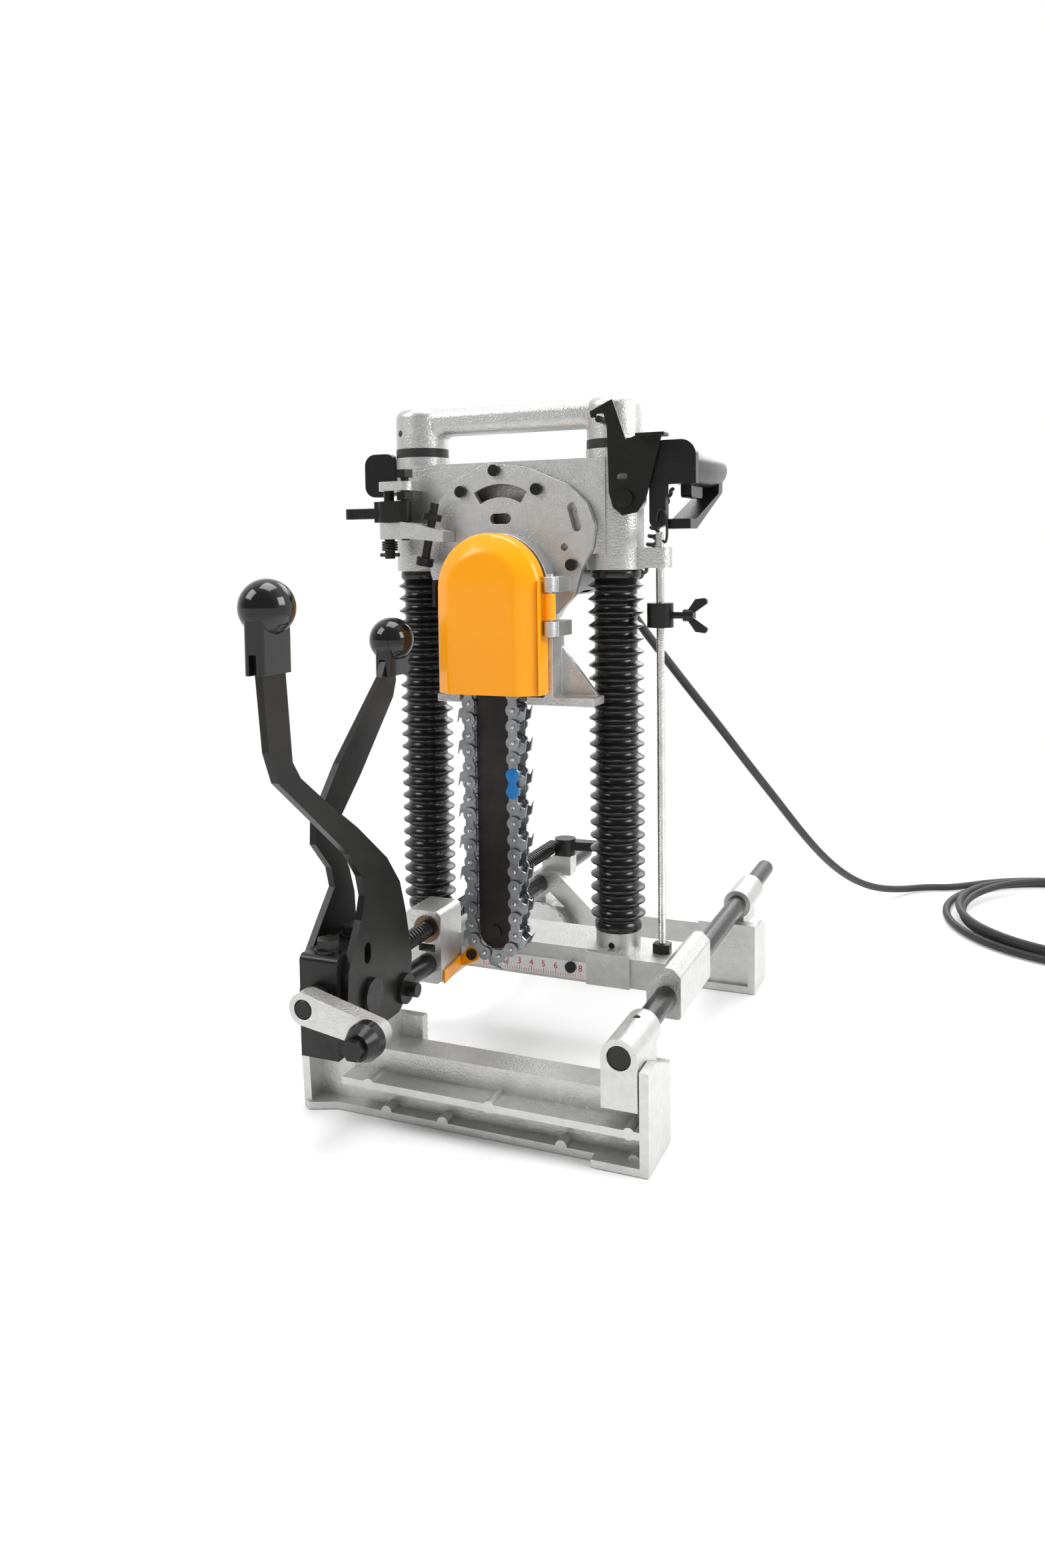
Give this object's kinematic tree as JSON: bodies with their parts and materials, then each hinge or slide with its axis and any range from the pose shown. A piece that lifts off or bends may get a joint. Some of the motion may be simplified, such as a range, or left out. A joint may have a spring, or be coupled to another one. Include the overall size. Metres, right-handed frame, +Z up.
{
  "type": "chain mortiser",
  "caption": "Portable timber-framing chain mortiser: motor head with guide bar and chain on two bellows-covered columns, crank-fed carriage, clamping jaws and levers.",
  "frame": {"origin": "underside of the front jaw, in the guide bar's centre plane and the middle of the jaw's depth", "axes": "+Z up, +Y from the front jaw and crank towards the motor and the rear jaw, +X to the right of someone facing the front jaw"},
  "size_m": [0.716, 0.9025, 0.499],
  "materials": {
    "cast_aluminium": "as cast and blasted, satin where machined",
    "ground_steel": "ground and polished shafting",
    "zinc_steel": "bright zinc plate",
    "lever_paint": "satin black paint on steel plate",
    "black_steel": "black oxide",
    "black_plastic": "moulded, fine grain",
    "yellow_paint": "glossy yellow-orange enamel",
    "scale_print": "brushed plate with printed graduations",
    "bronze": "machined",
    "chain_steel": "oiled chain steel",
    "bellows_rubber": "matt black",
    "bumper_rubber": "matt black",
    "winding": "lacquered copper and lamination steel",
    "cord_rubber": "matt black sheath"
  },
  "bodies": {
    "base": {"front_jaw": "cast_aluminium", "guide_rod_left": "black_steel", "guide_rod_right": "black_steel", "base_screws": "black_steel", "screw_bracket": "lever_paint", "lever_pivots": "black_steel"},
    "rear_jaw": {"rear_jaw": "cast_aluminium", "pad_spring": "bronze"},
    "pressure_pad": {"pressure_pad": "cast_aluminium"},
    "rod_lock_lever": {"rod_lock_lever": "black_steel"},
    "carriage": {"carriage": "cast_aluminium", "feed_nut": "bronze", "column_left": "ground_steel", "column_right": "ground_steel", "bellows_left": "bellows_rubber", "bellows_right": "bellows_rubber", "return_springs": "zinc_steel", "top_handle": "cast_aluminium", "bumper_rings": "bumper_rubber", "latch_pin": "black_steel", "depth_rod": "zinc_steel", "scale_plate": "scale_print", "pointer": "yellow_paint", "carriage_screws": "black_steel", "mains_cord": "cord_rubber", "cord_coil": "cord_rubber", "plug": "black_plastic"},
    "crank": {"lead_screw": "black_steel", "crank_arm": "cast_aluminium"},
    "crank_knob": {"crank_knob": "black_plastic"},
    "head": {"head_casting": "cast_aluminium", "gear_cover": "cast_aluminium", "head_screws": "black_steel", "bearings": "bronze", "guide_bar": "black_steel", "bar_mount": "cast_aluminium", "chain": "chain_steel", "hinge_pin": "zinc_steel", "cover_clip": "black_plastic", "tension_bolt": "black_steel", "stop_bolt": "black_steel", "motor_housing": "black_plastic", "motor_end_cap": "black_plastic", "field_coil": "winding", "right_grip": "black_plastic", "left_grip": "black_plastic", "cord_gland": "cord_rubber", "switch_cord": "cord_rubber"},
    "armature": {"armature": "winding"},
    "spindle": {"spindle": "zinc_steel"},
    "latch_plate": {"latch_plate": "lever_paint"},
    "stop_lever": {"stop_lever": "lever_paint"},
    "chain_cover": {"chain_cover": "yellow_paint"},
    "clamp_lever_front": {"clamp_lever_front": "lever_paint", "ball_knob_front": "black_plastic"},
    "clamp_lever_rear": {"clamp_lever_rear": "lever_paint", "ball_knob_rear": "black_plastic"},
    "depth_collar": {"depth_collar": "black_steel"},
    "wing_screw": {"wing_screw": "black_steel"},
    "trigger": {"trigger": "black_plastic"}
  },
  "joints": [
    {"name": "carriage_slide", "type": "slide", "parent": "base", "child": "carriage", "axis": [0, 1, 0], "range_m": [0, 0.06]},
    {"name": "crank_turn", "type": "hinge", "parent": "base", "child": "crank", "pos_m": [-0.054, -0.09, 0.1], "axis": [0, 1, 0], "range_deg": [0, 5400]},
    {"name": "crank_knob_spin", "type": "hinge", "parent": "crank", "child": "crank_knob", "pos_m": [-0.005, -0.1, 0.09], "axis": [0, 1, 0], "continuous": true},
    {"name": "head_slide", "type": "slide", "parent": "carriage", "child": "head", "axis": [0, 0, 1], "range_m": [-0.155, 0], "stiffness_N_per_m": 400, "springref_m": 0.35, "deforming": ["bellows_left", "bellows_right", "return_springs", "mains_cord"]},
    {"name": "depth_collar_slide", "type": "slide", "parent": "carriage", "child": "depth_collar", "axis": [0, 0, 1], "range_m": [-0.16, 0.01]},
    {"name": "wing_screw_turn", "type": "hinge", "parent": "depth_collar", "child": "wing_screw", "pos_m": [0.125, 0.133, 0.338], "axis": [1, 0, 0], "range_deg": [0, 180]},
    {"name": "latch_hinge", "type": "hinge", "parent": "head", "child": "latch_plate", "pos_m": [0.099, 0.1, 0.423], "axis": [0, 1, 0], "range_deg": [0, 22], "stiffness_Nm_per_rad": 0.2, "springref_deg": -20.05},
    {"name": "stop_lever_hinge", "type": "hinge", "parent": "head", "child": "stop_lever", "pos_m": [-0.09, 0.094, 0.418], "axis": [0, 0, 1], "range_deg": [-50, 0], "stiffness_Nm_per_rad": 0.1, "springref_deg": 22.92},
    {"name": "chain_cover_hinge", "type": "hinge", "parent": "head", "child": "chain_cover", "pos_m": [0.0505, 0.075, 0.346], "axis": [0, 0, 1], "range_deg": [0, 110]},
    {"name": "front_lever_hinge", "type": "hinge", "parent": "base", "child": "clamp_lever_front", "pos_m": [-0.037, -0.041, 0.094], "axis": [1, 0, 0], "range_deg": [-8, 20]},
    {"name": "rear_lever_hinge", "type": "hinge", "parent": "base", "child": "clamp_lever_rear", "pos_m": [-0.071, -0.041, 0.094], "axis": [1, 0, 0], "range_deg": [0, 30]},
    {"name": "rear_jaw_slide", "type": "slide", "parent": "base", "child": "rear_jaw", "axis": [0, 1, 0], "range_m": [-0.03, 0.06]},
    {"name": "pad_slide", "type": "slide", "parent": "rear_jaw", "child": "pressure_pad", "axis": [0, 1, 0], "range_m": [0, 0.0025], "stiffness_N_per_m": 4000, "springref_m": -0.003},
    {"name": "rod_lock_turn", "type": "hinge", "parent": "rear_jaw", "child": "rod_lock_lever", "pos_m": [-0.036, 0.325, 0.09], "axis": [0, 0, 1], "range_deg": [0, 90]},
    {"name": "trigger_slide", "type": "slide", "parent": "head", "child": "trigger", "axis": [0, 0, 1], "range_m": [0, 0.004], "stiffness_N_per_m": 600, "springref_m": -0.003},
    {"name": "spindle_spin", "type": "hinge", "parent": "head", "child": "spindle", "pos_m": [0, 0.112, 0.358], "axis": [0, 1, 0], "continuous": true},
    {"name": "armature_spin", "type": "hinge", "parent": "head", "child": "armature", "pos_m": [0, 0.112, 0.394], "axis": [0, 1, 0], "continuous": true}
  ],
  "couplings": [
    {"joint": "crank_turn", "follows": "carriage_slide", "rad_per_m": 1570.8},
    {"joint": "depth_collar_slide", "follows": "head_slide", "ratio": 1},
    {"joint": "armature_spin", "follows": "spindle_spin", "ratio": -2}
  ]
}
